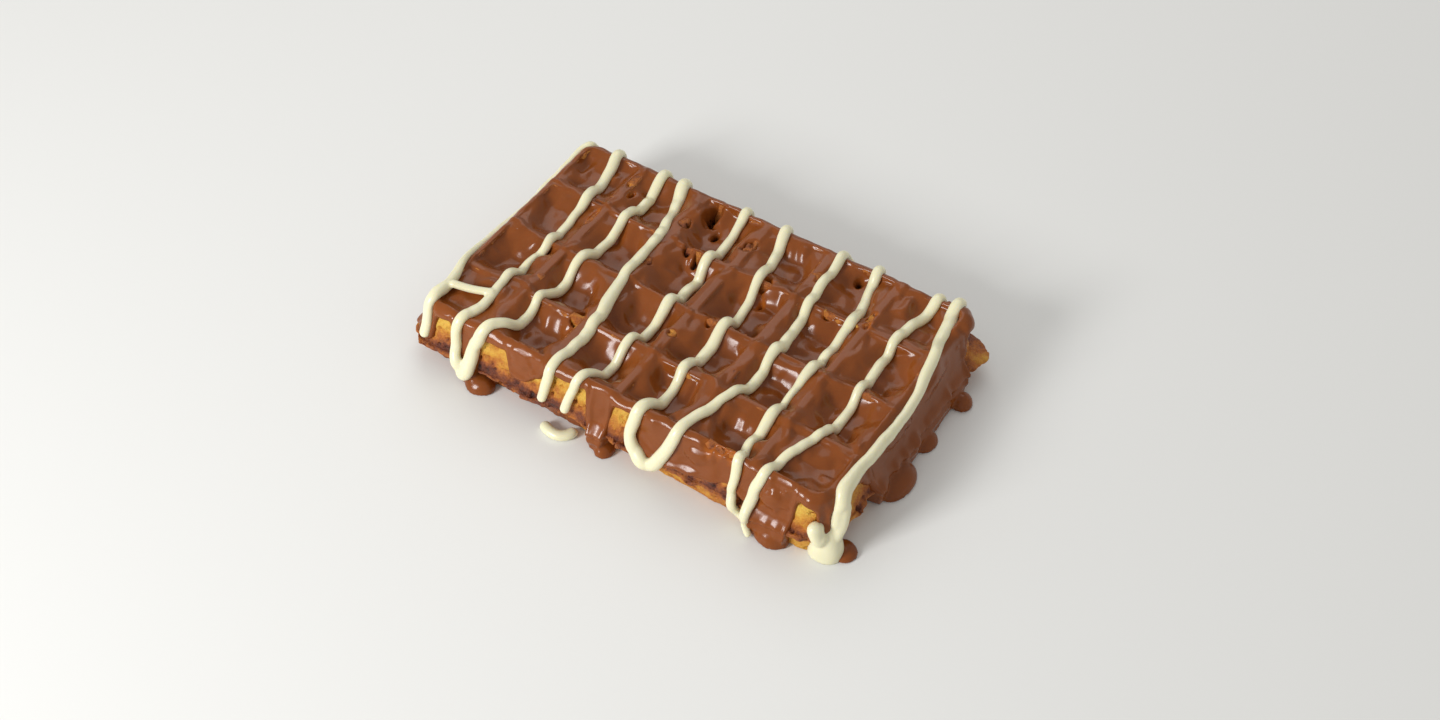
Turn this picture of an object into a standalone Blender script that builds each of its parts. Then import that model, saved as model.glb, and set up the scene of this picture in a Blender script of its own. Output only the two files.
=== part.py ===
"""A thick rectangular waffle of 6 x 4 pockets under milk chocolate sauce and a zigzag of white chocolate.

Metres, +Z up. The origin is the middle of the underside, +X runs along the waffle's length and
-Y is its front. Two solids: the baked waffle, and the sauce that lies on it with the white drizzle.
"""

import math
import random

import bmesh
import bpy
from mathutils import Matrix, Vector, noise

MM = 0.001

# Baked waffle
COLUMNS = 6
ROWS = 4
PITCH_X = 28.5 * MM
PITCH_Y = 26.2 * MM
RIDGE_X = 4.6 * MM
RIDGE_Y = 4.0 * MM
RIM_X = 1.85 * MM
RIM_Y = 2.25 * MM
# The middle of the top's pockets. Those underneath lie round the origin.
GRID_X = 1.3 * MM
GRID_Y = -1.3 * MM
# The rim is wider at the right and the back than at the left and the front.
OUTLINE_X = 2.4 * MM
OUTLINE_Y = -0.7 * MM
HEIGHT = 26.0 * MM
SEAM_HEIGHT = 8.0 * MM
POCKET_DEPTH = 9.0 * MM
UNDER_POCKET_DEPTH = 6.0 * MM
POCKET_TAPER = 3.0 * MM
POCKET_CORNER = 2.4 * MM
CORNER = 7.0 * MM
TOP_EDGE = 2.5 * MM
FOOT_EDGE = 1.2 * MM
SPREAD = 4.0 * MM
LOWER_SPREAD = 3.0 * MM
FOOT_SPREAD = 2.4 * MM
# The lower half sits a little askew under the upper one, in degrees.
LOWER_TURN = -2.0
SEAM_THICKNESS = 1.8 * MM
# The lip stands out by LIP_REACH on average, and by up to LIP_RAGGED more or less.
LIP_REACH = 0.9 * MM
LIP_RAGGED = 1.4 * MM
LIP_RAGS_PER_METRE = 170
LIP_STEP = 7.0 * MM
# Corners where the lip is drawn out into a tip: x, y and how much further it goes, in mm.
LIP_TIPS = ((-87, -54, 2.5), (91, 54, 4.0))
LIP_TIP_WIDTH = 8.0 * MM

TOP_LENGTH = COLUMNS * PITCH_X - RIDGE_X + 2 * RIM_X
TOP_WIDTH = ROWS * PITCH_Y - RIDGE_Y + 2 * RIM_Y
SEAM_DROP = HEIGHT - SEAM_HEIGHT

# Milk chocolate sauce
GAP = 0.3 * MM
SAUCE = 1.2 * MM
CROSSING_RISE = 1.1 * MM
# How far the sauce's flat crest reaches past each side of a ridge.
CREST_OVERHANG = 0.4 * MM
CREST_WAVES = 0.4 * MM
WAVES_PER_METRE = 90
POCKET_SLOPE = 4.7 * MM
CURTAIN = 3.0 * MM
CURTAIN_FLARE = 4.0 * MM
LIP_SAUCE = 2.4 * MM
LIP_SAUCE_WIDTH = 3.5 * MM
BARE_DEPTH = 1.6 * MM
SAUCE_EDGE = 2.6 * MM
POOL_LOW = 18.4 * MM
POOL_HIGH = 21.6 * MM
PUDDLE_SIDES = 12
PUDDLE_RINGS = 8
HOLLOW_FOOT = 5.0 * MM
SHEET_STEP = 2.0 * MM
SKIN_KEPT = 0.125
SEED = 24

# How far down each side the sauce runs, as (place along the side, drop below the top), both in mm.
FRONT_RUNS = (
    (-84, 16), (-79, 13), (-76, 4), (-71, 4), (-66, 20), (-63, 27), (-58, 27), (-55, 4), (-46, 5),
    (-42, 9), (-35, 9), (-30, 7), (-25, 3), (-11, 3), (-8, 16), (-5, 27), (0, 27), (2, 4), (8, 4),
    (12, 15), (25, 17), (38, 14), (50, 13), (59, 15), (63, 27), (76, 27), (78, 4), (84, 4),
)
RIGHT_RUNS = ((-50, 4), (-41, 5), (-37, 27), (40, 27), (44, 12), (47, 4), (53, 4))
BACK_RUNS = (
    (-82, 12), (-66, 16), (-55, 7), (-38, 14), (-31, 27), (-24, 27), (-18, 8), (4, 14), (18, 10),
    (36, 16), (44, 27), (51, 27), (57, 9), (72, 12), (84, 4),
)
LEFT_RUNS = ((-50, 16), (-36, 10), (-22, 15), (-8, 8), (6, 13), (13, 26), (19, 26), (26, 9), (50, 12))

# Puddles at the foot of the runs: place of the middle, then length, width and height, all in mm.
PUDDLES = (
    (-56, -58, 13, 10, 5), (0, -58, 8, 9, 4), (70, -57.5, 14, 11, 6), (94.5, -50, 10, 11, 3),
    (96, -14, 11, 20, 5), (97, 31.5, 9, 10, 4), (-27.5, 56, 12, 9, 4), (47.5, 56, 12, 9, 4),
    (-20.5, -60.5, 13, 7, 4), (90.5, -53, 11, 10, 9),
)

# White drizzle: where each of its ten passes crosses the back rim, three ridges and the front rim (x, mm).
CROSSINGS = (51, 23.5, -3.5, -29, -53)
PASSES = (
    (-82, -82.5, -83, -81, -80), (-68.5, -66, -65, -65, -65), (-48, -49.5, -49, -50.5, -56),
    (-39, -30.5, -29.8, -28, -25), (-10, -8.5, -9, -9.5, -14.5), (7.5, 13, 14, 13.5, 12),
    (33, 35, 36.5, 34.5, 28.5), (47.5, 53.5, 53, 51.8, 52), (74.5, 69.5, 70.5, 70, 62.5),
    (82.5, 87, 90.5, 90, 91),
)
# How far past the edge the turns reach: at the back after each even pass, at the front after each odd one.
BACK_TURNS = (9, 8, 9, 7, 9)
FRONT_TURNS = (19, 31, 17, 21)
DRIZZLE_RADIUS = 2.2 * MM
DRIZZLE_LIFT = 0.8 * MM
DRIZZLE_STEP = PITCH_Y / 4
# How high the middle of a strand runs where it lies on the surface below, and how near the bare waffle.
DRIZZLE_FLOOR = 2.6 * MM
DRIZZLE_NEAR = 0.7 * MM
LEAD_IN = 12.0 * MM
# Below 1, the turns are squarer than a half circle.
TURN_ROUNDNESS = 0.6
FEWEST_TURN_STEPS = 5
# Short strands besides the zigzag, in the sheet (mm): a link between two passes, and the tail's second lobe.
SHORT_STRANDS = (((-80, -41), (-73, -37), (-65, -35)), ((93, -64), (98, -69), (103, -74)))
# The last pass leaves over the right front corner and ends on the surface below.
TAIL_START = 0.92
TAIL = ((89.5, -51), (94, -57), (99, -62.5), (104, -67.5), (109, -72))

CRUST = (0.56, 0.25, 0.06)
CRUST_ROUGHNESS = 0.6
MILK_CHOCOLATE = (0.20, 0.060, 0.018)
SAUCE_ROUGHNESS = 0.2
SMOOTH_BELOW = math.radians(35)


def clear_scene():
    for obj in list(bpy.data.objects):
        bpy.data.objects.remove(obj, do_unlink=True)


def collection(name):
    made = bpy.data.collections.new(name)
    bpy.context.scene.collection.children.link(made)
    return made


def food_material(name, colour, roughness):
    material = bpy.data.materials.new(name)
    material.use_nodes = True
    shader = material.node_tree.nodes["Principled BSDF"]
    shader.inputs["Base Color"].default_value = (*colour, 1.0)
    shader.inputs["Roughness"].default_value = roughness
    shader.inputs["Metallic"].default_value = 0.0
    return material


def object_of(bm, name, home):
    mesh = bpy.data.meshes.new(name)
    bm.to_mesh(mesh)
    bm.free()
    obj = bpy.data.objects.new(name, mesh)
    home.objects.link(obj)
    return obj


def apply_modifiers(obj):
    graph = bpy.context.evaluated_depsgraph_get()
    mesh = bpy.data.meshes.new_from_object(obj.evaluated_get(graph))
    obj.modifiers.clear()
    obj.data = mesh


def cutter_of(obj):
    """Marks an object that only cuts or joins another one."""
    obj.hide_render = True
    obj.display_type = "WIRE"
    return obj


def remove(*objects):
    for obj in objects:
        bpy.data.objects.remove(obj, do_unlink=True)


def keep_largest_body(obj):
    """Drops the specks that a cut leaves loose beside the body."""
    bm = bmesh.new()
    bm.from_mesh(obj.data)
    waiting = set(bm.faces)
    bodies = []
    while waiting:
        edge_of_body = [waiting.pop()]
        body = set(edge_of_body)
        while edge_of_body:
            face = edge_of_body.pop()
            beside = {other for edge in face.edges for other in edge.link_faces} - body
            body |= beside
            edge_of_body.extend(beside)
        waiting -= body
        bodies.append(body)
    bodies.sort(key=len)
    for body in bodies[:-1]:
        bmesh.ops.delete(bm, geom=list({v for face in body for v in face.verts}), context="VERTS")
    bm.to_mesh(obj.data)
    bm.free()


def cut(obj, cutter, solver="EXACT"):
    modifier = obj.modifiers.new("Cut", "BOOLEAN")
    modifier.operation = "DIFFERENCE"
    modifier.solver = solver
    modifier.object = cutter_of(cutter)
    apply_modifiers(obj)
    remove(cutter)


def join(obj, others, solver="EXACT"):
    """One union of the object with all that the collection holds."""
    modifier = obj.modifiers.new("Join", "BOOLEAN")
    modifier.operation = "UNION"
    modifier.solver = solver
    modifier.operand_type = "COLLECTION"
    modifier.collection = others
    apply_modifiers(obj)
    remove(*list(others.objects))
    bpy.data.collections.remove(others)


def thin_out(obj, share):
    """Keeps this share of the faces, the ones that the relief needs."""
    modifier = obj.modifiers.new("Thin out", "DECIMATE")
    modifier.ratio = share
    apply_modifiers(obj)


def smooth(value):
    """An even S curve from 0 to 1."""
    value = min(max(value, 0.0), 1.0)
    return value * value * (3 - 2 * value)


def tapered_block(bm, middle, low_size, high_size, low, high, corner, edge=0.0, low_edge=0.0):
    """A block between two heights whose outline grows from one size to the other, with rounded corners."""
    block = bmesh.ops.create_cube(bm, size=1.0)["verts"]
    for vert in block:
        upper = vert.co.z > 0
        size = high_size if upper else low_size
        vert.co.x = middle[0] + math.copysign(size[0] / 2, vert.co.x)
        vert.co.y = middle[1] + math.copysign(size[1] / 2, vert.co.y)
        vert.co.z = high if upper else low
    edges = {e for vert in block for e in vert.link_edges}
    upright = [e for e in edges if abs(e.verts[0].co.z - e.verts[1].co.z) > (high - low) / 2]
    rounded = bmesh.ops.bevel(
        bm, geom=upright, offset=corner, segments=3 if edge else 1, affect="EDGES", profile=0.5
    )
    verts = {v for face in rounded["faces"] for v in face.verts} | {v for v in block if v.is_valid}
    for height, size in ((high, edge), (low, low_edge)):
        if size:
            joined = {e for v in verts if v.is_valid for e in v.link_edges}
            level = [e for e in joined if all(abs(end.co.z - height) < 1e-6 for end in e.verts)]
            bmesh.ops.bevel(bm, geom=level, offset=size, segments=2 if edge else 1, affect="EDGES")


def pocket_middles():
    """The pockets' places, seen from the middle of their grid."""
    for column in range(COLUMNS):
        for row in range(ROWS):
            x = (column - (COLUMNS - 1) / 2) * PITCH_X
            y = (row - (ROWS - 1) / 2) * PITCH_Y
            yield column, row, x, y


def pocket_size(taper):
    """The pocket's (length, width), narrower than its mouth by taper on each side."""
    return PITCH_X - RIDGE_X - 2 * taper, PITCH_Y - RIDGE_Y - 2 * taper


def top_pocket_cutter(home, grow):
    """Tapered plugs that stand in the top's pockets, and taper on above it."""
    bm = bmesh.new()
    floor, above = HEIGHT - POCKET_DEPTH + grow, HEIGHT + POCKET_DEPTH + grow
    for _, _, x, y in pocket_middles():
        small, large = pocket_size(POCKET_TAPER + grow), pocket_size(grow - POCKET_TAPER)
        tapered_block(bm, (x + GRID_X, y + GRID_Y), small, large, floor, above, POCKET_CORNER)
    return object_of(bm, "Pockets", home)


def under_pocket_cutter(home):
    bm = bmesh.new()
    for _, _, x, y in pocket_middles():
        large, small = pocket_size(-POCKET_TAPER), pocket_size(POCKET_TAPER)
        tapered_block(bm, (x, y), large, small, -UNDER_POCKET_DEPTH, UNDER_POCKET_DEPTH, POCKET_CORNER)
    return object_of(bm, "Under pockets", home)


def grown(spread, grow):
    """The outline's (length, width) when it stands out from the top's by spread, and by grow all round."""
    return TOP_LENGTH + 2 * (spread + grow), TOP_WIDTH + 2 * (spread + grow)


def walk_outline(length, width, corner, step_length):
    """Points round a rectangle with rounded corners, each with the direction that faces outward there."""
    half_x, half_y = length / 2 - corner, width / 2 - corner
    signs = ((1, 1), (-1, 1), (-1, -1), (1, -1))
    corners = [Vector((half_x * sign_x, half_y * sign_y)) for sign_x, sign_y in signs]
    for number, middle in enumerate(corners):
        for step in range(4):
            angle = math.pi / 2 * (number + step / 3)
            out = Vector((math.cos(angle), math.sin(angle)))
            yield middle + out * corner, out
        start, end = middle + out * corner, corners[(number + 1) % 4] + out * corner
        steps = round((end - start).length / step_length)
        for step in range(1, steps):
            yield start.lerp(end, step / steps), out


def seam_lip(home, grow):
    """The thin ragged lip that the batter leaves where the iron's two plates meet."""
    outline = bpy.data.curves.new("Seam lip", "CURVE")
    outline.dimensions = "2D"
    outline.fill_mode = "BOTH"
    outline.extrude = SEAM_THICKNESS / 2 + grow
    points = []
    for point, out in walk_outline(*grown(SPREAD, 0), CORNER, LIP_STEP):
        point += Vector((OUTLINE_X, OUTLINE_Y))
        reach = LIP_REACH + LIP_RAGGED * noise.noise(point.to_3d() * LIP_RAGS_PER_METRE)
        for x, y, drawn in LIP_TIPS:
            away = (point - Vector((x, y)) * MM).length / LIP_TIP_WIDTH
            reach += drawn * MM * math.exp(-(away ** 2))
        points.append(point + out * (reach + grow))
    spline = outline.splines.new("POLY")
    spline.points.add(len(points) - 1)
    for place, point in zip(spline.points, points):
        place.co = (*point, 0, 1)
    spline.use_cyclic_u = True
    guide = bpy.data.objects.new("Seam outline", outline)
    home.objects.link(guide)
    guide.location.z = SEAM_HEIGHT
    return curve_to_mesh(guide, home)


def curve_to_mesh(guide, home):
    bpy.context.view_layer.update()
    graph = bpy.context.evaluated_depsgraph_get()
    mesh = bpy.data.meshes.new_from_object(guide.evaluated_get(graph))
    bm = bmesh.new()
    bm.from_mesh(mesh)
    bmesh.ops.remove_doubles(bm, verts=bm.verts, dist=1e-6)
    bmesh.ops.recalc_face_normals(bm, faces=bm.faces)
    obj = object_of(bm, guide.name + " solid", home)
    obj.matrix_world = guide.matrix_world
    remove(guide)
    return obj


def waffle_solid(name, home, cutters, grow=0.0):
    """The waffle. With grow it is the plug that the sauce is hollowed with: larger, and whole underneath."""
    bm = bmesh.new()
    tapered_block(
        bm, (OUTLINE_X, OUTLINE_Y), grown(SPREAD, grow), grown(0, grow),
        SEAM_HEIGHT - SEAM_THICKNESS / 4 - grow, HEIGHT + grow, CORNER, edge=TOP_EDGE,
    )
    waffle = object_of(bm, name, home)
    cut(waffle, top_pocket_cutter(cutters, grow))

    rest = collection("Lower half")
    bm = bmesh.new()
    foot = -HOLLOW_FOOT if grow else 0.0
    tapered_block(
        bm, (OUTLINE_X, OUTLINE_Y), grown(FOOT_SPREAD, grow), grown(LOWER_SPREAD, grow),
        foot, SEAM_HEIGHT + SEAM_THICKNESS / 4 + grow, CORNER, low_edge=0.0 if grow else FOOT_EDGE,
    )
    turn = Matrix.Rotation(math.radians(LOWER_TURN), 3, "Z")
    bmesh.ops.rotate(bm, verts=bm.verts, cent=(OUTLINE_X, OUTLINE_Y, 0), matrix=turn)
    lower = object_of(bm, "Lower half", rest)
    if not grow:
        cut(lower, under_pocket_cutter(cutters))
    seam_lip(rest, grow)
    join(waffle, rest)
    return waffle


def reach_at(runs, place):
    """How far down the sauce runs at this place along a side, eased between the listed places."""
    place /= MM
    if place <= runs[0][0]:
        return runs[0][1] * MM
    for (start, low), (end, high) in zip(runs, runs[1:]):
        if place <= end:
            return (low + (high - low) * smooth((place - start) / (end - start))) * MM
    return runs[-1][1] * MM


def pool_levels():
    draw = random.Random(SEED)
    return {
        (column, row): POOL_LOW + (POOL_HIGH - POOL_LOW) * draw.random()
        for column, row, _, _ in pocket_middles()
    }


def sauce_top(x, y, pools):
    """Height of the sauce over the grid: rounded over the ridges, and pooled in the pockets."""
    x, y = x - GRID_X, y - GRID_Y
    column = min(max(int(x / PITCH_X + COLUMNS / 2), 0), COLUMNS - 1)
    row = min(max(int(y / PITCH_Y + ROWS / 2), 0), ROWS - 1)
    across = abs(x - (column - (COLUMNS - 1) / 2) * PITCH_X)
    along = abs(y - (row - (ROWS - 1) / 2) * PITCH_Y)
    shoulder_x = (PITCH_X - RIDGE_X) / 2 - CREST_OVERHANG
    shoulder_y = (PITCH_Y - RIDGE_Y) / 2 - CREST_OVERHANG
    u = max((across - shoulder_x) / POCKET_SLOPE + 1, 0)
    v = max((along - shoulder_y) / POCKET_SLOPE + 1, 0)
    ridge = smooth((u ** 4 + v ** 4) ** 0.25)
    crossing = (math.cos(math.pi * x / PITCH_X) * math.cos(math.pi * y / PITCH_Y)) ** 2
    waves = CREST_WAVES * noise.noise(Vector((x, y, 0)) * WAVES_PER_METRE)
    crest = HEIGHT + SAUCE + CROSSING_RISE * crossing + waves
    pool = pools[column, row]
    return pool + (crest - pool) * ridge


def side_sauce(drop, reach, least):
    """Thickness of the sauce on a side, this far below the top. Below zero it lies inside the waffle."""
    cover = smooth((reach - drop) / SAUCE_EDGE + 0.5)
    over_lip = LIP_SAUCE * math.exp(-(((drop - SEAM_DROP) / LIP_SAUCE_WIDTH) ** 2))
    below = CURTAIN * smooth((drop - SEAM_DROP) / CURTAIN_FLARE)
    thick = (SAUCE + over_lip + below + BARE_DEPTH) * cover - BARE_DEPTH
    return max(thick, least + over_lip)


def sauce_point(a, b, pools, lift=0.0, least=-1.0):
    """A point of the sauce's skin: a sheet, with a and b along X and Y, folded down over the edges.

    lift raises the point off the skin. least is how near the waffle it may come on the sides.
    """
    core_x, core_y = TOP_LENGTH / 2 - CORNER, TOP_WIDTH / 2 - CORNER
    held_x = min(max(a, OUTLINE_X - core_x), OUTLINE_X + core_x)
    held_y = min(max(b, OUTLINE_Y - core_y), OUTLINE_Y + core_y)
    held = Vector((held_x, held_y))
    past = Vector((a, b)) - held
    run = max(abs(past.x), abs(past.y))
    way = past.normalized() if run > 0 else Vector((0, 0))
    flat = CORNER - TOP_EDGE
    fold = TOP_EDGE * math.pi / 2
    if run <= flat:
        place = held + way * run
        return Vector((place.x, place.y, sauce_top(place.x, place.y, pools) + lift))

    angle = min((run - flat) / TOP_EDGE, math.pi / 2)
    out = flat + TOP_EDGE * math.sin(angle)
    drop = TOP_EDGE * (1 - math.cos(angle)) + max(run - flat - fold, 0)
    if drop < SEAM_DROP:
        out += SPREAD * max(drop - TOP_EDGE, 0) / (SEAM_DROP - TOP_EDGE)
    else:
        out += LOWER_SPREAD + (FOOT_SPREAD - LOWER_SPREAD) * (drop - SEAM_DROP) / SEAM_HEIGHT
    if abs(past.y) >= abs(past.x):
        reach = reach_at(FRONT_RUNS if past.y < 0 else BACK_RUNS, a)
    else:
        reach = reach_at(LEFT_RUNS if past.x < 0 else RIGHT_RUNS, b)
    edge_height = sauce_top(held.x + way.x * flat, held.y + way.y * flat, pools) - HEIGHT
    edge_height = max(edge_height, SAUCE)
    blend = smooth((run - flat) / fold)
    thick = edge_height * (1 - blend) + side_sauce(drop, reach, least) * blend
    normal_out, normal_up = math.sin(angle), math.cos(angle)
    place = held + way * (out + (thick + lift) * normal_out)
    return Vector((place.x, place.y, max(HEIGHT - drop + (thick + lift) * normal_up, 0.0)))


def sheet_reach():
    """How far the sheet goes past the flat core before its rim meets the surface below the waffle."""
    return CORNER - TOP_EDGE + TOP_EDGE * math.pi / 2 + HEIGHT - TOP_EDGE


def sauce_skin(name, home, pools):
    """The sheet folded over the waffle and closed underneath, with the faces that its relief needs."""
    half_a = TOP_LENGTH / 2 - CORNER + sheet_reach()
    half_b = TOP_WIDTH / 2 - CORNER + sheet_reach()
    bm = bmesh.new()
    bmesh.ops.create_grid(
        bm, x_segments=round(2 * half_a / SHEET_STEP), y_segments=round(2 * half_b / SHEET_STEP), size=1.0
    )
    for vert in bm.verts:
        vert.co = sauce_point(OUTLINE_X + vert.co.x * half_a, OUTLINE_Y + vert.co.y * half_b, pools)
    bmesh.ops.holes_fill(bm, edges=[e for e in bm.edges if e.is_boundary], sides=0)
    bmesh.ops.recalc_face_normals(bm, faces=bm.faces)
    skin = object_of(bm, name, home)
    thin_out(skin, SKIN_KEPT)
    for vert in skin.data.vertices:
        vert.co.z = max(vert.co.z, 0.0)
    return skin


def pass_point(places, share):
    """Where a pass lies at this share of its way from the back edge to the front edge."""
    b = TOP_WIDTH * (0.5 - share)
    a = places[-1]
    for number, (behind, ahead) in enumerate(zip(CROSSINGS, CROSSINGS[1:])):
        if b / MM >= ahead:
            part = max((behind - b / MM) / (behind - ahead), 0)
            a = places[number] + (places[number + 1] - places[number]) * part
            break
    return Vector((a * MM, b))


def turn_points(start, end, depth):
    """The loop between two passes, in the sheet, bulging past the edge by depth."""
    side = math.copysign(1, start.y)
    count = max(FEWEST_TURN_STEPS, round(2 * depth / (DRIZZLE_STEP / MM)))
    points = []
    for step in range(1, count):
        angle = math.pi * step / count
        share = (1 - math.cos(angle)) / 2
        swell = math.sin(angle) ** TURN_ROUNDNESS
        points.append(start.lerp(end, share) + Vector((0, side * depth * MM * swell)))
    return points


def drizzle_route():
    """The zigzag in the sheet: it starts at the front left, and ends at the front right."""
    steps = round(TOP_WIDTH / DRIZZLE_STEP)
    start = pass_point(PASSES[0], 1.0)
    route = [start - Vector((0, LEAD_IN)), start - Vector((0, LEAD_IN / 2))]
    for number, places in enumerate(PASSES):
        shares = [step / steps for step in range(steps + 1)]
        if number % 2 == 0:
            shares.reverse()
        if places is PASSES[-1]:
            shares = [share for share in shares if share < TAIL_START]
        leg = [pass_point(places, share) for share in shares]
        if number:
            turns = BACK_TURNS if number % 2 else FRONT_TURNS
            route += turn_points(route[-1], leg[0], turns[(number - 1) // 2])
        route += leg
    return route + [Vector(place) * MM for place in TAIL]


def laid_on_sheet(a, b, pools):
    """The middle of a strand that lies at (a, b) on the sauce, on bare waffle or on the surface below."""
    on_top = abs(b) < TOP_WIDTH / 2 - CORNER and abs(a - OUTLINE_X) < TOP_LENGTH / 2 - CORNER
    place = sauce_point(a, b, pools, lift=DRIZZLE_LIFT if on_top else 0.0, least=DRIZZLE_NEAR)
    past = abs(b) - (TOP_WIDTH / 2 - CORNER + sheet_reach())
    if past > 0:
        place.y += math.copysign(past, b)
    place.z = max(place.z, DRIZZLE_FLOOR)
    return place


def strand(name, points, home):
    curve = bpy.data.curves.new(name, "CURVE")
    curve.dimensions = "3D"
    curve.bevel_depth = DRIZZLE_RADIUS
    curve.bevel_resolution = 1
    curve.use_fill_caps = True
    spline = curve.splines.new("POLY")
    spline.points.add(len(points) - 1)
    for place, point in zip(spline.points, points):
        place.co = (*point, 1)
    guide = bpy.data.objects.new(name, curve)
    home.objects.link(guide)
    return curve_to_mesh(guide, home)


def puddle(name, numbers, home):
    """A flattened drop with a flat foot on the surface that the waffle stands on."""
    x, y, length, width, height = (number * MM for number in numbers)
    bm = bmesh.new()
    bmesh.ops.create_uvsphere(bm, u_segments=PUDDLE_SIDES, v_segments=PUDDLE_RINGS, radius=1.0)
    for vert in bm.verts:
        rise = max(vert.co.z, 0.0) * height
        vert.co = (x + vert.co.x * length / 2, y + vert.co.y * width / 2, rise)
    bmesh.ops.dissolve_degenerate(bm, edges=bm.edges, dist=1e-6)
    lowest = [f for f in bm.faces if all(v.co.z < 1e-7 for v in f.verts)]
    bmesh.ops.delete(bm, geom=lowest, context="FACES")
    bmesh.ops.holes_fill(bm, edges=[e for e in bm.edges if e.is_boundary], sides=0)
    bmesh.ops.recalc_face_normals(bm, faces=bm.faces)
    return object_of(bm, name, home)


def sauce_solid(name, home, cutters):
    """Sauce, drizzle and puddles as one body, hollowed so that it stays clear of the waffle by GAP."""
    pools = pool_levels()
    sauce = sauce_skin(name, home, pools)
    extras = collection("Drizzle and puddles")
    strand("Zigzag", [laid_on_sheet(p.x, p.y, pools) for p in drizzle_route()], extras)
    for number, places in enumerate(SHORT_STRANDS):
        strand(f"Short strand {number}", [laid_on_sheet(a * MM, b * MM, pools) for a, b in places], extras)
    for number, numbers in enumerate(PUDDLES):
        puddle(f"Puddle {number}", numbers, extras)
    # The faces of the sauce nearly touch here and there, where only the MANIFOLD solver gives a closed body.
    join(sauce, extras, solver="MANIFOLD")
    cut(sauce, waffle_solid("Hollow", cutters, cutters, grow=GAP), solver="MANIFOLD")
    keep_largest_body(sauce)
    return sauce


def finish(part, material):
    part.data.materials.clear()
    part.data.materials.append(material)
    part.data.polygons.foreach_set("material_index", [0] * len(part.data.polygons))
    part.data.shade_smooth()
    part.data.set_sharp_from_angle(angle=SMOOTH_BELOW)


def main():
    clear_scene()
    parts = collection("Liege waffle")
    cutters = collection("Cutters")
    waffle = waffle_solid("waffle", parts, cutters)
    finish(waffle, food_material("Baked crust", CRUST, CRUST_ROUGHNESS))
    sauce = sauce_solid("chocolate_sauce", parts, cutters)
    finish(sauce, food_material("Milk chocolate", MILK_CHOCOLATE, SAUCE_ROUGHNESS))
    bpy.data.collections.remove(cutters)


main()
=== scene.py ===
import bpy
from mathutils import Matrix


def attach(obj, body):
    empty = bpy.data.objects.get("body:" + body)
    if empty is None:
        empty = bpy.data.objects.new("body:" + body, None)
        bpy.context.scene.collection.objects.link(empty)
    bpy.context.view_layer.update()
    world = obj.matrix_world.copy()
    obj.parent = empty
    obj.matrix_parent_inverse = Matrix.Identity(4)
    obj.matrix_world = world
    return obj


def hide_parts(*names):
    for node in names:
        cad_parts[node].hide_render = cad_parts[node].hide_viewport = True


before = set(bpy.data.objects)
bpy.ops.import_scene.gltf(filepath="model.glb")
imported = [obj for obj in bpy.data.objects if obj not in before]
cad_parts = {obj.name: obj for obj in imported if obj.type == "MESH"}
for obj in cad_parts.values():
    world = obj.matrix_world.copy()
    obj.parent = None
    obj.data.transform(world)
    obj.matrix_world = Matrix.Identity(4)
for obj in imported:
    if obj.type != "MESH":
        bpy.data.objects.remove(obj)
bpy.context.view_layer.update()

import itertools
import math

import bmesh
import bpy
import numpy as np
from mathutils import Matrix, Vector

print("frame loaded")

# All shapes are worked out in millimetres and become metres when a mesh is made.
mm = 0.001
mostTriangles = 195000      # in each piece

# The grid that batter, sauce and drizzle share: where each pocket of the sauce begins and ends.
grid = {
    "columns": ((-81.2, -58.5), (-53, -30), (-24.5, -1.2), (4, 26.8), (32.5, 55.8), (61, 84)),
    "rows": ((-51, -31), (-27, -4.8), (-2, 22), (25, 49)),
}

# The block around the grid: the upper half's outline, and the fold of its edges.
block = {
    "middleX": 2.4,
    "middleY": -0.7,
    "length": 170.1,
    "width": 105.3,
    "height": 26.0,
    "cornerRound": 7.0,
    "edgeRound": 2.5,
    "seamHeight": 8.0,
    "halfSeam": 1.1,         # half the height of the seam lip's root
    "upperSpread": 4.0,      # how much wider the upper half is at the seam
    "lowerSpread": 3.0,
    "footSpread": 2.4,
    "lowerTurn": -1.6,       # degrees that the lower half sits askew
    "lowerShift": 0.9,       # and how far back it sits
}
coreX = block["length"] / 2 - block["cornerRound"]
coreY = block["width"] / 2 - block["cornerRound"]
flatRun = block["cornerRound"] - block["edgeRound"]
foldRun = block["edgeRound"] * math.pi / 2
seamDrop = block["height"] - block["seamHeight"]


def ease(value):
    value = np.clip(value, 0.0, 1.0)
    return value * value * (3 - 2 * value)


def comesIn(value, span):
    # eased from 0 to 1: where it starts, and over what length
    start, length = span
    return ease((value - start) / length)


def bumps(points, size, seed):
    # smooth random field from -1 to 1, with bumps about as large as size
    places = np.asarray(points, float) / size + 731.0
    cell = np.floor(places).astype(np.int64)
    part = places - cell
    part = part * part * (3 - 2 * part)
    total = np.zeros(len(places))
    for corner in itertools.product((0, 1), repeat=places.shape[1]):
        at = cell + np.array(corner)
        key = at[:, 0] * 73856093 + at[:, 1] * 19349663 + seed * 7919
        if places.shape[1] == 3:
            key = key + at[:, 2] * 83492791
        key = (key ^ (key >> 13)) * 1274126177
        key = (key ^ (key >> 16)) & 0xFFFF
        weight = np.prod(np.where(np.array(corner) == 1, part, 1 - part), axis=1)
        total += weight * (key / 32767.5 - 1)
    return total


def sumOfBumps(points, layers):
    # layers are (height, size, seed)
    return sum(high * bumps(points, size, seed) for high, size, seed in layers)


def pairs(x, y):
    return np.stack([np.ravel(x), np.ravel(y)], axis=1)


def easedRuns(runs, place):
    # value at this place, eased between the listed (place, value) pairs
    places, values = np.array(runs, float).T
    index = np.clip(np.searchsorted(places, place) - 1, 0, len(places) - 2)
    share = (place - places[index]) / (places[index + 1] - places[index])
    return values[index] + (values[index + 1] - values[index]) * ease(share)


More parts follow.
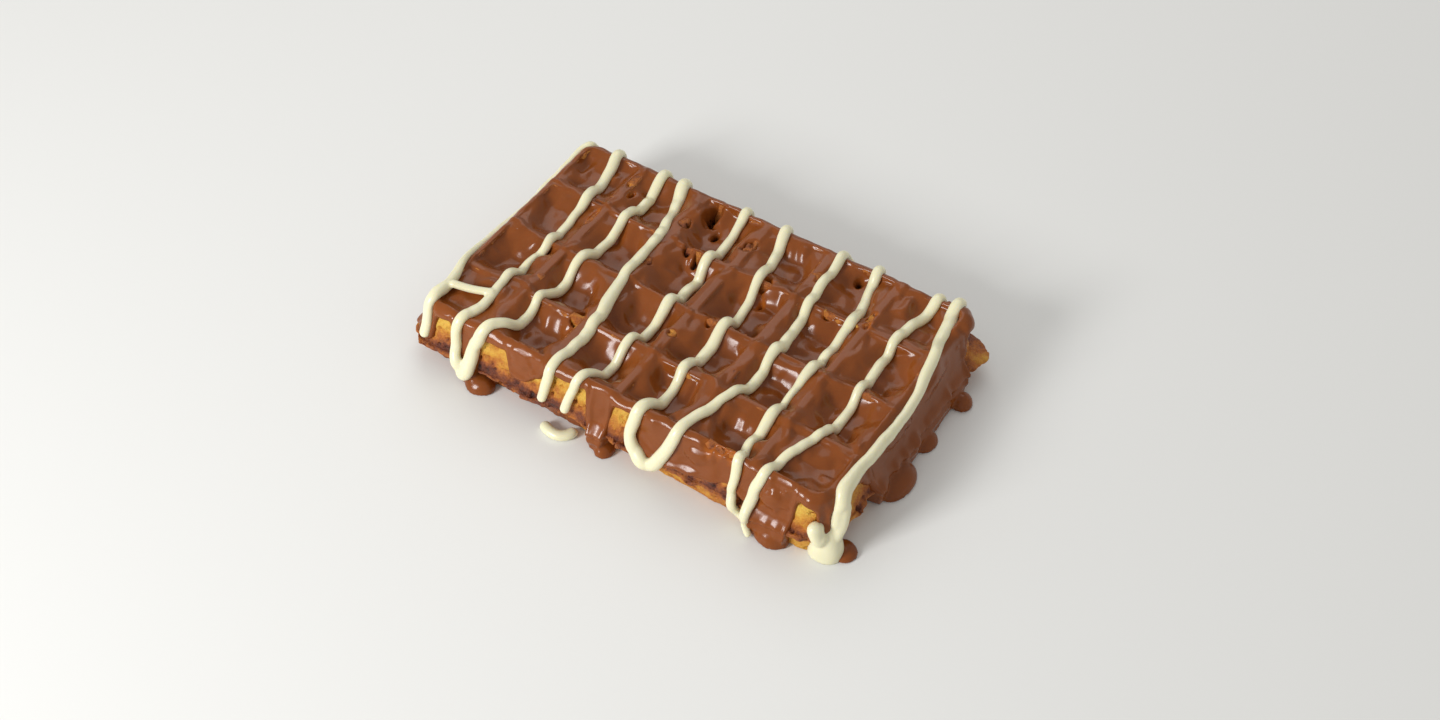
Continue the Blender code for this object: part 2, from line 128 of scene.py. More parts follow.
def gridQuads(countA, countB, start=0):
    index = np.arange(countA * countB).reshape(countA, countB) + start
    quads = np.stack([index[:-1, :-1], index[1:, :-1], index[1:, 1:], index[:-1, 1:]], axis=-1)
    rim = np.concatenate([index[:, 0], index[-1, 1:], index[-2::-1, -1], index[0, -2:0:-1]])
    return quads.reshape(-1, 4), rim


def makeObject(name, points, faces):
    mesh = bpy.data.meshes.new(name)
    mesh.from_pydata((np.asarray(points) * mm).tolist(), [], np.asarray(faces).tolist())
    mesh.validate()
    made = bpy.data.objects.new(name, mesh)
    bpy.context.scene.collection.objects.link(made)
    return made


def twoSheetFaces(countA, countB):
    # triangles of a closed body between an outer and an inner sheet that share one rim
    outerQuads, outerRim = gridQuads(countA, countB)
    innerQuads, innerRim = gridQuads(countA, countB, countA * countB)
    rim = np.stack([outerRim, innerRim, np.roll(innerRim, -1), np.roll(outerRim, -1)], axis=1)
    quads = np.concatenate([outerQuads, innerQuads[:, ::-1], rim])
    return np.concatenate([quads[:, [0, 1, 2]], quads[:, [0, 2, 3]]])


def pointsOf(made):
    points = np.empty(len(made.data.vertices) * 3, np.float32)
    made.data.vertices.foreach_get("co", points)
    return points.reshape(-1, 3).astype(float) / mm


def normalsOf(made):
    normals = np.empty(len(made.data.vertices) * 3, np.float32)
    made.data.vertex_normals.foreach_get("vector", normals)
    return normals.reshape(-1, 3).astype(float)


def movePoints(made, points):
    made.data.vertices.foreach_set("co", (points * mm).astype(np.float32).ravel())
    made.data.update()


def giveValue(made, name, values):
    # one number a point, read by the material
    attribute = made.data.attributes.new(name, "FLOAT", "POINT")
    attribute.data.foreach_set("value", np.asarray(values, np.float32))


def applyAll(made):
    graph = bpy.context.evaluated_depsgraph_get()
    mesh = bpy.data.meshes.new_from_object(made.evaluated_get(graph))
    made.modifiers.clear()
    made.data = mesh


def meltTogether(made, voxel, rounds):
    # one skin around all that overlaps, then evened out as a thick liquid does
    remesh = made.modifiers.new("Melt", "REMESH")
    remesh.mode = "VOXEL"
    remesh.voxel_size = voxel * mm
    even = made.modifiers.new("Even out", "SMOOTH")
    even.factor = 0.5
    even.iterations = rounds
    applyAll(made)


def lighten(made):
    # the sheets joined along their rim, and fewer triangles where the skin is nearly flat
    made.data.calc_loop_triangles()
    joined = made.modifiers.new("Join", "WELD")
    joined.merge_threshold = 0.001 * mm
    fewer = made.modifiers.new("Lighten", "DECIMATE")
    fewer.ratio = min(1.0, mostTriangles / len(made.data.loop_triangles))
    applyAll(made)
    made.data.shade_smooth()


def foldSheet(a, b):
    # a and b run along X and Y over the top, and on down the sides past the core
    heldX = np.clip(a, block["middleX"] - coreX, block["middleX"] + coreX)
    heldY = np.clip(b, block["middleY"] - coreY, block["middleY"] + coreY)
    pastX, pastY = a - heldX, b - heldY
    run = np.maximum(np.abs(pastX), np.abs(pastY))
    length = np.maximum(np.hypot(pastX, pastY), 1e-9)
    return heldX, heldY, run, pastX / length, pastY / length


def nearestPocket(places, spans):
    # which pocket of a row or column, and how far inside its two edges
    spans = np.array(spans, float)
    between = (spans[:-1, 1] + spans[1:, 0]) / 2
    index = np.searchsorted(between, places)
    return index, places - spans[index, 0], spans[index, 1] - places


lip = {
    "reach": 1.5,
    "least": 0.2,
    "ragged": ((1.4, 6.0, 11), (0.7, 2.2, 12)),
    "tips": ((-87, -54, 3.2, 8), (92, 52, 6.5, 7)),      # x, y, how much further, how wide
    "fullness": 0.75,
}


def lipReach(x, y):
    places = pairs(x, y)
    reach = lip["reach"] + sumOfBumps(places, lip["ragged"])
    for tipX, tipY, further, wide in lip["tips"]:
        reach += further * np.exp(-((places[:, 0] - tipX) ** 2 + (places[:, 1] - tipY) ** 2) / wide ** 2)
    return np.maximum(reach, lip["least"])


waffle = {
    "step": 0.55,
    "pocketDepth": 11.0,
    "underDepth": 6.0,
    "taper": 2.6,
    "wider": 0.9,             # how much further its pockets reach than the sauce's
    "cornerPower": 6,         # high makes the pockets square
    "softRim": 0.35,
    "crumb": ((0.42, 5.0, 21), (0.294, 2.2, 22), (0.21, 1.2, 23)),
    "poreDepth": 1.1,
    "poreBumps": ((1.0, 1.7, 24),),
    "poreSpan": (0.35, 0.35),     # what of those bumps becomes a pore
    "calmSpan": (0.1, 1.0),       # over this height the foot goes over into the flat underside
    "lipRun": 9.0,
    "footRound": 1.2,
    "browningAndShade": {
        "side": 0.10,
        "top": 0.58,
        "lowSide": 0.44,
        "seam": 0.80,
        "lipTip": 0.66,
        "lower": 0.36,
        # painted shade: the lower half's tone at the front left, where it sits recessed under the lip
        "lowerLeftShade": 0.78,
        "under": 0.50,
        # painted shade in the pores
        "pore": 0.10,
        "topFade": 6,
        "lowSideSpan": (0.30, 0.40),      # shares of the way down to the seam
        "seamSpan": (0.66, 0.26),
        "leftShadeSpan": (10, 20),             # distance left of the middle over which the painted shade on the lower half comes in
    },
    "patches": ((0.13, 8.0, 25), (0.18, 2.8, 26)),
    # corners that are baked evenly orange-brown: x, y, how wide
    "corners": ((93, -44, 8), (94, 50, 9), (-87, -52, 6)),
    "cornerTone": 0.48,
    "cornerPatches": ((0.3, 3.0, 27),),
}


def pocketHeight(x, y, depth):
    # 0 on the ridges, down to -depth in the pockets
    _, left, right = nearestPocket(x, grid["columns"])
    _, front, behind = nearestPocket(y, grid["rows"])
    u = np.maximum(1 - (np.minimum(left, right) + waffle["wider"]) / waffle["taper"], 0)
    v = np.maximum(1 - (np.minimum(front, behind) + waffle["wider"]) / waffle["taper"], 0)
    power = waffle["cornerPower"]
    climb = np.clip((u ** power + v ** power) ** (1 / power), 0, 1)
    climb = climb + waffle["softRim"] * (ease(climb) - climb)
    return -depth * (1 - climb)


def waffleTop(x, y):
    return block["height"] + pocketHeight(x, y, waffle["pocketDepth"])


def makeWaffle():
    upperEnd = seamDrop - block["halfSeam"]
    lowerStart = seamDrop + block["halfSeam"]
    foot = waffle["footRound"]
    sideRun = upperEnd - block["edgeRound"]
    lowerRun = block["height"] - foot - lowerStart
    footRun = foot * math.pi / 2
    ends = np.cumsum([flatRun, foldRun, sideRun, waffle["lipRun"], lowerRun, footRun])
    longest = ends[-1]
    countA = round(2 * (coreX + longest) / waffle["step"])
    countB = round(2 * (coreY + longest) / waffle["step"])
    a = block["middleX"] + np.linspace(-1, 1, countA) * (coreX + longest)
    b = block["middleY"] + np.linspace(-1, 1, countB) * (coreY + longest)
    a, b = (values.ravel() for values in np.meshgrid(a, b, indexing="ij"))
    heldX, heldY, run, outX, outY = foldSheet(a, b)

    # how far out and how far down each point of the profile lies
    angle = np.clip((run - ends[0]) / block["edgeRound"], 0, math.pi / 2)
    onSide = np.clip((run - ends[1]) / sideRun, 0, 1)
    onLip = np.clip((run - ends[2]) / waffle["lipRun"], 0, 1)
    onLower = np.clip((run - ends[3]) / lowerRun, 0, 1)
    footAngle = np.clip((run - ends[4]) / foot, 0, math.pi / 2)
    out = np.minimum(run, flatRun) + block["edgeRound"] * np.sin(angle)
    drop = block["edgeRound"] * (1 - np.cos(angle)) + sideRun * onSide
    out += block["upperSpread"] * onSide
    lowered = np.where(run > ends[3], 1.0, ease(onLip * 2 - 1))
    out += (block["lowerSpread"] - block["upperSpread"]) * lowered
    out += (block["footSpread"] - block["lowerSpread"]) * onLower
    outlineX = heldX + outX * (block["cornerRound"] + block["upperSpread"])
    outlineY = heldY + outY * (block["cornerRound"] + block["upperSpread"])
    reach = lipReach(outlineX, outlineY)
    bulge = np.sin(math.pi * onLip) ** lip["fullness"]
    out += reach * bulge
    drop += (1 - np.cos(math.pi * onLip)) / 2 * (lowerStart - upperEnd)
    drop += lowerRun * onLower + foot * np.sin(footAngle)
    out -= foot * (1 - np.cos(footAngle))
    x = heldX + outX * out
    y = heldY + outY * out
    turn = math.radians(block["lowerTurn"]) * lowered
    x, y = x - turn * (y - block["middleY"]), y + turn * (x - block["middleX"])
    y = y + block["lowerShift"] * lowered
    flat = run <= flatRun
    z = block["height"] - drop
    topZ = waffleTop(x, y)
    z = np.where(flat, topZ, z)

    # underneath: the same sheet shrunk into the foot's outline
    footOut = (block["cornerRound"] + block["footSpread"] - foot) * run / longest
    underX = heldX + outX * footOut
    underY = heldY + outY * footOut
    full = math.radians(block["lowerTurn"])
    pocketZ = -pocketHeight(underX, underY, waffle["underDepth"])
    fromX, fromY = underX - block["middleX"], underY - block["middleY"]
    underX, underY = underX - full * fromY, underY + full * fromX + block["lowerShift"]
    edge = run >= longest - 1e-6
    pocketZ = np.where(edge, 0.0, pocketZ)
    sheets = np.concatenate([np.stack([x, y, z], 1), np.stack([underX, underY, pocketZ], 1)])
    made = makeObject("baked_waffle", sheets, twoSheetFaces(countA, countB))

    # how far the crust is baked, from pale batter at 0 to burnt at 1: browner down the side towards the seam;
    # the same value also holds painted shade, darker on the lower half at the front left where it sits
    # recessed, and in the pores
    tone = waffle["browningAndShade"]
    side = tone["side"] + (tone["top"] - tone["side"]) * (1 - ease(onSide * tone["topFade"]))
    side = np.where(flat, tone["top"], side)
    side = side + (tone["lowSide"] - side) * comesIn(onSide, tone["lowSideSpan"])
    side = side + (tone["seam"] - side) * comesIn(onSide, tone["seamSpan"])
    side = side + (tone["lipTip"] - side) * bulge * (onLip > 0)
    # painted shade: the lower half is made darker at the front left, where it sits recessed under the lip
    shadedLeftFront = comesIn(-x, tone["leftShadeSpan"]) * (y < 0)
    lower = tone["lower"] + (tone["lowerLeftShade"] - tone["lower"]) * shadedLeftFront
    side = np.where(onLip >= 1, lower, side)
    bakedAndShade = np.concatenate([side, np.full(len(side), tone["under"])])

    # crumb and pores
    points = pointsOf(made)
    normals = normalsOf(made)
    rough = sumOfBumps(points, waffle["crumb"])
    pore = comesIn(sumOfBumps(points, waffle["poreBumps"]), waffle["poreSpan"])
    calm = comesIn(points[:, 2], waffle["calmSpan"])
    points += normals * ((rough - waffle["poreDepth"] * pore) * calm)[:, None]
    points[:, 2] = np.maximum(points[:, 2], 0.0)
    movePoints(made, points)
    # painted shade: the pores a little darker
    bakedAndShade = bakedAndShade + sumOfBumps(points, waffle["patches"]) + tone["pore"] * pore
    evenTone = waffle["cornerTone"] + sumOfBumps(points, waffle["cornerPatches"])
    for cornerX, cornerY, wide in waffle["corners"]:
        near = np.exp(-((points[:, 0] - cornerX) ** 2 + (points[:, 1] - cornerY) ** 2) / wide ** 2)
        bakedAndShade = bakedAndShade + (evenTone - bakedAndShade) * near
    giveValue(made, "bakedAndShade", np.clip(bakedAndShade, 0, 1))
    lighten(made)
    return made


waffleBody = makeWaffle()
print("waffle made:", len(waffleBody.data.vertices), "points")


sauce = {
    "step": 0.5,
    "voxel": 0.5,
    "evenRounds": 3,
    "cover": 1.2,              # thickness on the sides
    "edgeCover": -0.4,         # height over the ridges' edges
    "least": 0.45,             # thickness that the batter always has on it
    "dome": 1.5,               # how much higher it is along the ridges' middles
    "crossing": 1.0,           # and where two ridges cross
    "saddle": 0.8,             # how much the ridges sink between crossings
    "saddleRun": 9.0,
    "ridgeRound": 2.8,
    "wallLeft": 7.5,
    "wallRight": 5.0,
    "wallFront": 5.5,
    "wallBack": 7.2,
    "evenSlope": 0.55,         # how straight the walls are between rim and pool
    "cornerPower": 2.2,        # low makes the pockets round
    "wobbles": ((2.6, 12.0, 31), (1.6, 6.0, 37)),      # how far, over what size, seed
    "swells": ((1.2, 8.5, 33), (0.5, 4.5, 38)),
    "poolSwells": ((1.3, 7.0, 35), (0.5, 3.5, 39)),
    "ripples": ((1.0, 3.4, 34), (1.5, 8.0, 36)),
    "sideFolds": ((0.9, 6.0, 40),),
    "wander": ((1.1, 5.0, 41),),                       # how the lower edge wanders
    "rimBumps": ((0.7, 6.5, 43), (0.35, 3.2, 45)),
    "sideBumps": ((0.6, 6.0, 42), (0.7, 12.0, 46), (0.25, 3.0, 47)),
    "acrossStretch": 0.2,      # how much longer the ripples run down the walls than across
    "alongStretch": 0.25,
    "seenSpan": (-2.0, 4.0),   # from the walls in front of a pocket's middle to those behind it
    "raggedSpots": ((0.7, 1.9, 44),),
    "spotPower": 1.5,
    "bareDepth": 1.6,
    "bareOver": 0.9,
    "leastRim": 0.8,
    "leastSwell": -0.5,
    "endCalm": 0.4,
    "lumpsFrom": 0.3,          # thickness from which a place on the side can have a lump
    # the skin's hidden inner side: below the top, its heights, how far in, and how it goes down the sides
    "skin": 2.4,
    "innerLeast": 9.0,
    "innerMost": 22.5,
    "innerTop": 22.0,
    "innerFoot": 1.6,
    "innerIn": 1.0,
    "innerDrop": 3.4,
    "innerShrink": 0.84,
    "thinRing": 0.9,           # how far round a bare spot the crust glows through
    "thinSpan": (0.2, 2 / 3),
    "thinAbove": 15,
    # where and above what height the holes get painted shade inside
    "holeShadeSpan": (0.3, 0.5),
    "holeShadeAbove": 12,
    "foot": 0.12,              # how far its underside lies above the waffle's, which keeps them apart
    "edgeRound": 1.9,
    "bead": 0.7,
    "beadPlace": 1.7,          # how far inside the lower edge the bead lies, and how wide it is
    "curtain": 3.0,            # how much thicker it hangs below the seam
    "curtainOver": 4.0,
    "lipWide": 3.2,
    "overLip": 0.8,            # how much further out than the crust's lip it lies
    # height of the sauce in each pocket: one line a row, from the front, left to right
    "pools": (
        (25.4, 20.0, 20.0, 20.2, 20.6, 23.4),
        (20.6, 19.4, 19.0, 19.4, 20.2, 20.8),
        (22.4, 19.0, 19.6, 19.4, 20.4, 21.0),
        (23.4, 20.5, 20.6, 21.8, 21.8, 23.4),
    ),
    # where the crust shows: x, y, half length, half width, how deep the sauce is missing
    "bareSpots": (
        (-55.5, 42, 1.0, 3.4, 4), (-52.5, 36, 0.9, 2.4, 4), (-57.5, 18, 0.5, 5.0, 2.5),
        (-31.5, -28.5, 1.7, 3.6, 8), (16.5, 24, 1.1, 3.2, 6), (18.5, 17, 0.8, 2.0, 4),
        (9.8, -4.2, 1.1, 1.6, 6), (43.6, 22.4, 1.2, 1.2, 5), (31.5, 36, 0.7, 2.2, 4),
        (57.5, 30, 0.9, 3.0, 4), (58.5, 25, 0.7, 1.8, 3),
    ),
    # thick places on the sides, the same way
    "lumps": (
        (36.5, -58, 5, 3, 1.6), (68, -60, 5, 4, 2.0), (-38, -57, 4, 3, 1.0), (87, 50, 7, 9, 1.8),
        (92, 18, 3, 9, 1.4), (93, -8, 3, 10, 1.6), (71, -50.5, 4, 2, 0.8),
    ),
    # and bare spots along the folded edge
    "edgeSpots": ((40.8, -53.0, 1.9, 1.4, 3.6), (45.5, -52.8, 2.8, 0.9, 3.2), (50, -53.0, 2.2, 0.8, 3.0)),
    # open holes down into a pocket: x, y, half length, half width, depth
    "holes": (
        (-20.5, 46.5, 1.9, 3.6, 11), (-25.6, 34, 1.3, 1.9, 8), (1.0, 37, 1.9, 2.2, 6),
        (43.6, 46.5, 1.2, 1.8, 7), (-12.5, 21, 1.0, 2.0, 6), (-17.5, 22.5, 1.2, 1.4, 5),
        (-26, 8.5, 1.0, 1.0, 4), (1.8, -17, 1.4, 1.0, 4),
        (-15.5, 38.5, 0.9, 1.8, 5), (15.2, 23.5, 0.8, 2.0, 5), (-62, -5, 0.9, 1.6, 4),
    ),
}

# How far down each side the sauce runs, as (place along the side, drop below the top).
runs = {
    "front": (
        (-84, 16), (-79, 13), (-76, 4), (-71, 4), (-66, 20), (-63, 27), (-58, 27), (-55, 4), (-46, 5),
        (-42, 12), (-35, 13), (-30, 9), (-25, 3), (-11, 3), (-8, 16), (-5, 27), (0, 27), (2, 4), (8, 4),
        (12, 15), (25, 17), (38, 14), (50, 13), (59, 15), (63, 27), (76, 27), (78, 4), (86, 4), (93, 15),
    ),
    "right": (
        (-60, 15), (-53, 5), (-39, 5), (-34, 8), (-29, 13), (-25, 27), (39, 27), (43, 12), (46, 4), (53, 4),
    ),
    "back": (
        (-82, 12), (-66, 16), (-55, 7), (-38, 14), (-31, 27), (-24, 27), (-18, 8), (4, 14), (18, 10),
        (36, 16), (44, 27), (51, 27), (57, 9), (72, 12), (84, 4),
    ),
    "left": ((-50, 16), (-36, 10), (-22, 15), (-8, 8), (6, 13), (13, 26), (19, 26), (26, 9), (50, 12)),
}

# Puddles at the foot of the runs: middle, then length, width and height.
puddles = (
    (-56, -58, 13, 10, 5), (0, -58, 8, 9, 4), (70, -57.5, 14, 11, 6), (94, -49.5, 10, 10, 3),
    (94.8, -13, 12, 20, 6), (95, 9, 7, 11, 4), (96.3, 33, 9, 9, 5), (-27.5, 56, 12, 9, 4),
    (47.5, 56, 12, 9, 4),
)


def spotDip(x, y, spots):
    dip = np.zeros(len(x))
    ragged = 1 + sumOfBumps(pairs(x, y), sauce["raggedSpots"])
    for spotX, spotY, long, wide, deep in spots:
        away = (((x - spotX) / long) ** 2 + ((y - spotY) / wide) ** 2) * ragged
        dip = np.maximum(dip, deep * np.exp(-away ** sauce["spotPower"]))
    return dip


def sauceHeight(x, y):
    # rounded over the ridges, thin over the pockets' rims, and pooled in the pockets
    plan = pairs(x, y)
    movedX = x + sumOfBumps(plan, sauce["wobbles"])
    movedY = y + sumOfBumps(plan + 300.0, sauce["wobbles"])
    column, left, right = nearestPocket(movedX, grid["columns"])
    row, front, behind = nearestPocket(movedY, grid["rows"])
    level = np.array(sauce["pools"])[row, column] + sumOfBumps(plan, sauce["poolSwells"])
    u = np.maximum(np.maximum(1 - left / sauce["wallLeft"], 1 - right / sauce["wallRight"]), 0)
    v = np.maximum(np.maximum(1 - front / sauce["wallFront"], 1 - behind / sauce["wallBack"]), 0)
    power = sauce["cornerPower"]
    climb = np.clip((u ** power + v ** power) ** (1 / power), 0, 1)
    climb = ease(climb) * (1 - sauce["evenSlope"]) + climb * sauce["evenSlope"]
    onRidgeX = 1 - (1 - np.clip(-np.minimum(left, right) / sauce["ridgeRound"], 0, 1)) ** 2
    onRidgeY = 1 - (1 - np.clip(-np.minimum(front, behind) / sauce["ridgeRound"], 0, 1)) ** 2
    crest = block["height"] + sauce["edgeCover"] + sauce["dome"] * np.maximum(onRidgeX, onRidgeY)
    crest += sauce["crossing"] * onRidgeX * onRidgeY
    alongX = ease(np.minimum(left, right) / sauce["saddleRun"])
    alongY = ease(np.minimum(front, behind) / sauce["saddleRun"])
    crest -= sauce["saddle"] * np.maximum(alongX * onRidgeY, alongY * onRidgeX)
    crest += sumOfBumps(plan, sauce["swells"])
    height = level + (crest - level) * climb
    # folds and ripples that run down the walls behind the pockets
    onWall = climb * (1 - climb) * 4
    seen = comesIn(front - behind, sauce["seenSpan"])
    across = pairs(movedX, movedY * sauce["acrossStretch"])
    along = pairs(movedX * sauce["alongStretch"], movedY)
    height += onWall * seen * sumOfBumps(across, sauce["ripples"])
    height += onWall * (1 - seen) * sumOfBumps(along, sauce["sideFolds"])
    height = np.maximum(height, waffleTop(x, y) + sauce["least"])
    height -= spotDip(x, y, sauce["bareSpots"]) + spotDip(x, y, sauce["holes"])
    return height


def sauceSide(drop, reach, slope, overLip, least):
    # thickness on a side: a rounded bead along the lower edge, and below zero where the side is bare
    inside = (reach - drop) / np.sqrt(1 + slope ** 2)
    rounded = np.sqrt(np.clip(1 - (1 - np.clip(inside / sauce["edgeRound"], 0, 1)) ** 2, 0, 1))
    below = sauce["curtain"] * comesIn(drop, (seamDrop, sauce["curtainOver"]))
    bead = sauce["bead"] * np.exp(-(inside / sauce["beadPlace"] - 1) ** 2)
    lipped = overLip * np.exp(-((drop - seamDrop) / sauce["lipWide"]) ** 2)
    thick = (sauce["cover"] + lipped + below + bead) * rounded
    thick = np.where(inside > 0, thick, -sauce["bareDepth"] * ease(-inside / sauce["bareOver"]))
    return np.maximum(thick, least + lipped * (least > -1))


def saucePoint(a, b, least=-9.0):
    # a point of the sauce's skin; on the sides it is at least this thick
    heldX, heldY, run, outX, outY = foldSheet(a, b)
    flat = run <= flatRun
    angle = np.clip((run - flatRun) / block["edgeRound"], 0, math.pi / 2)
    out = np.minimum(run, flatRun) + block["edgeRound"] * np.sin(angle)
    drop = block["edgeRound"] * (1 - np.cos(angle)) + np.maximum(run - flatRun - foldRun, 0)
    upper = np.clip((drop - block["edgeRound"]) / (seamDrop - block["edgeRound"]), 0, 1)
    lower = np.clip((drop - seamDrop) / block["seamHeight"], 0, 1)
    lowerSpread = block["lowerSpread"] + (block["footSpread"] - block["lowerSpread"]) * lower
    out += np.where(drop > seamDrop, lowerSpread, block["upperSpread"] * upper)
    x = heldX + outX * np.minimum(run, flatRun)
    y = heldY + outY * np.minimum(run, flatRun)
    top = sauceHeight(x, y)
    frontBack = np.where(outY < 0, easedRuns(runs["front"], a), easedRuns(runs["back"], a))
    leftRight = np.where(outX < 0, easedRuns(runs["left"], b), easedRuns(runs["right"], b))
    nearA, nearB = a + 0.5, b + 0.5
    nearFrontBack = np.where(outY < 0, easedRuns(runs["front"], nearA), easedRuns(runs["back"], nearA))
    nearLeftRight = np.where(outX < 0, easedRuns(runs["left"], nearB), easedRuns(runs["right"], nearB))
    share = outY ** 2
    plan = pairs(a, b)
    reach = frontBack * share + leftRight * (1 - share) + sumOfBumps(plan, sauce["wander"])
    slope = ((nearFrontBack - frontBack) * share + (nearLeftRight - leftRight) * (1 - share)) / 0.5
    outline = block["cornerRound"] + block["upperSpread"]
    overLip = lipReach(heldX + outX * outline, heldY + outY * outline) + sauce["overLip"]
    blend = ease((run - flatRun) / foldRun)
    edgeHeight = np.maximum(top - block["height"], sauce["leastRim"]) + sumOfBumps(plan, sauce["rimBumps"])
    # the batter never shows through, and the two ends stay calmer than the front and back
    calm = sauce["endCalm"] + (1 - sauce["endCalm"]) * share
    swell = np.maximum(sumOfBumps(plan, sauce["sideBumps"]), sauce["leastSwell"]) * calm
    onSide = sauceSide(drop, reach, slope, overLip, least) + swell
    thick = edgeHeight * (1 - blend) + onSide * blend
    lumps = spotDip(a, b, sauce["lumps"]) * (thick > sauce["lumpsFrom"])
    thick = thick - spotDip(a, b, sauce["edgeSpots"]) + lumps
    outward = out + thick * np.sin(angle)
    sideX = heldX + outX * outward
    sideY = heldY + outY * outward
    sideZ = np.maximum(block["height"] - drop + thick * np.cos(angle), 0.0)
    return np.stack([
        np.where(flat, x, sideX), np.where(flat, y, sideY), np.where(flat, top, sideZ)
    ], axis=1)


sheetReach = flatRun + foldRun + block["height"] - block["edgeRound"]


dropShape = {
    "subdivisions": 4,
    "waves": ((0.06, 0.8, 51),),
    "cut": -0.6,      # how much of the drop's lower half is there, before it is flattened
}


def addPuddles(points, faces, drops):
    # flattened drops that stand on the floor
    for x, y, long, wide, high in drops:
        ball = bmesh.new()
        bmesh.ops.create_icosphere(ball, subdivisions=dropShape["subdivisions"], radius=1.0)
        place = np.array([v.co for v in ball.verts])
        index = np.array([[v.index for v in f.verts] for f in ball.faces])
        ball.free()
        wave = 1 + sumOfBumps(place + x, dropShape["waves"])
        place = place * wave[:, None] * np.array([long / 2, wide / 2, high])
        place[:, 2] = np.maximum(place[:, 2], dropShape["cut"])
        place += np.array([x, y, 0.0])
        place[:, 2] = np.maximum(place[:, 2], 0.0)
        faces.append(index + sum(len(p) for p in points))
        points.append(place)


def makeSauce():
    countA = round(2 * (coreX + sheetReach) / sauce["step"])
    countB = round(2 * (coreY + sheetReach) / sauce["step"])
    a = block["middleX"] + np.linspace(-1, 1, countA) * (coreX + sheetReach)
    b = block["middleY"] + np.linspace(-1, 1, countB) * (coreY + sheetReach)
    a, b = (values.ravel() for values in np.meshgrid(a, b, indexing="ij"))
    outer = saucePoint(a, b)
    heldX, heldY, run, outX, outY = foldSheet(a, b)
    # the inner sheet lies inside the waffle, and starts a little above its foot
    within = np.minimum(run, flatRun + sauce["innerIn"])
    innerX = heldX + outX * within
    innerY = heldY + outY * within
    belowTop = np.clip(outer[:, 2] - sauce["skin"], sauce["innerLeast"], sauce["innerMost"])
    pastFold = np.maximum(run - flatRun - sauce["innerIn"], 0)
    besideSide = block["height"] - sauce["innerDrop"] - pastFold * sauce["innerShrink"]
    innerZ = np.where(run <= flatRun, belowTop, np.minimum(besideSide, sauce["innerTop"]))
    inner = np.stack([innerX, innerY, np.maximum(innerZ, sauce["innerFoot"])], 1)
    points, faces = [outer, inner], [twoSheetFaces(countA, countB)]
    addPuddles(points, faces, puddles)
    made = makeObject("milk_chocolate_sauce", np.concatenate(points), np.concatenate(faces))
    meltTogether(made, sauce["voxel"], sauce["evenRounds"])
    places = pointsOf(made)
    places[:, 2] = np.maximum(places[:, 2], sauce["foot"])
    movePoints(made, places)
    # the crust glows through round the bare spots, and the holes get painted shade inside
    x, y, z = places.T
    ring = sauce["thinRing"]
    near = spotDip(x, y, [
        (spotX, spotY, long + ring, wide + ring, 1.0)
        for spotX, spotY, long, wide, _ in sauce["bareSpots"] + sauce["edgeSpots"]
    ])
    giveValue(made, "thin", comesIn(near, sauce["thinSpan"]) * (z > sauce["thinAbove"]))
    # painted shade: the insides of the holes made nearly black
    inHole = spotDip(x, y, [(*spot[:4], 1.0) for spot in sauce["holes"]])
    giveValue(made, "deep", comesIn(inHole, sauce["holeShadeSpan"]) * (z > sauce["holeShadeAbove"]))
    lighten(made)
    return made


sauceBody = makeSauce()
print("sauce made:", len(sauceBody.data.vertices), "points")


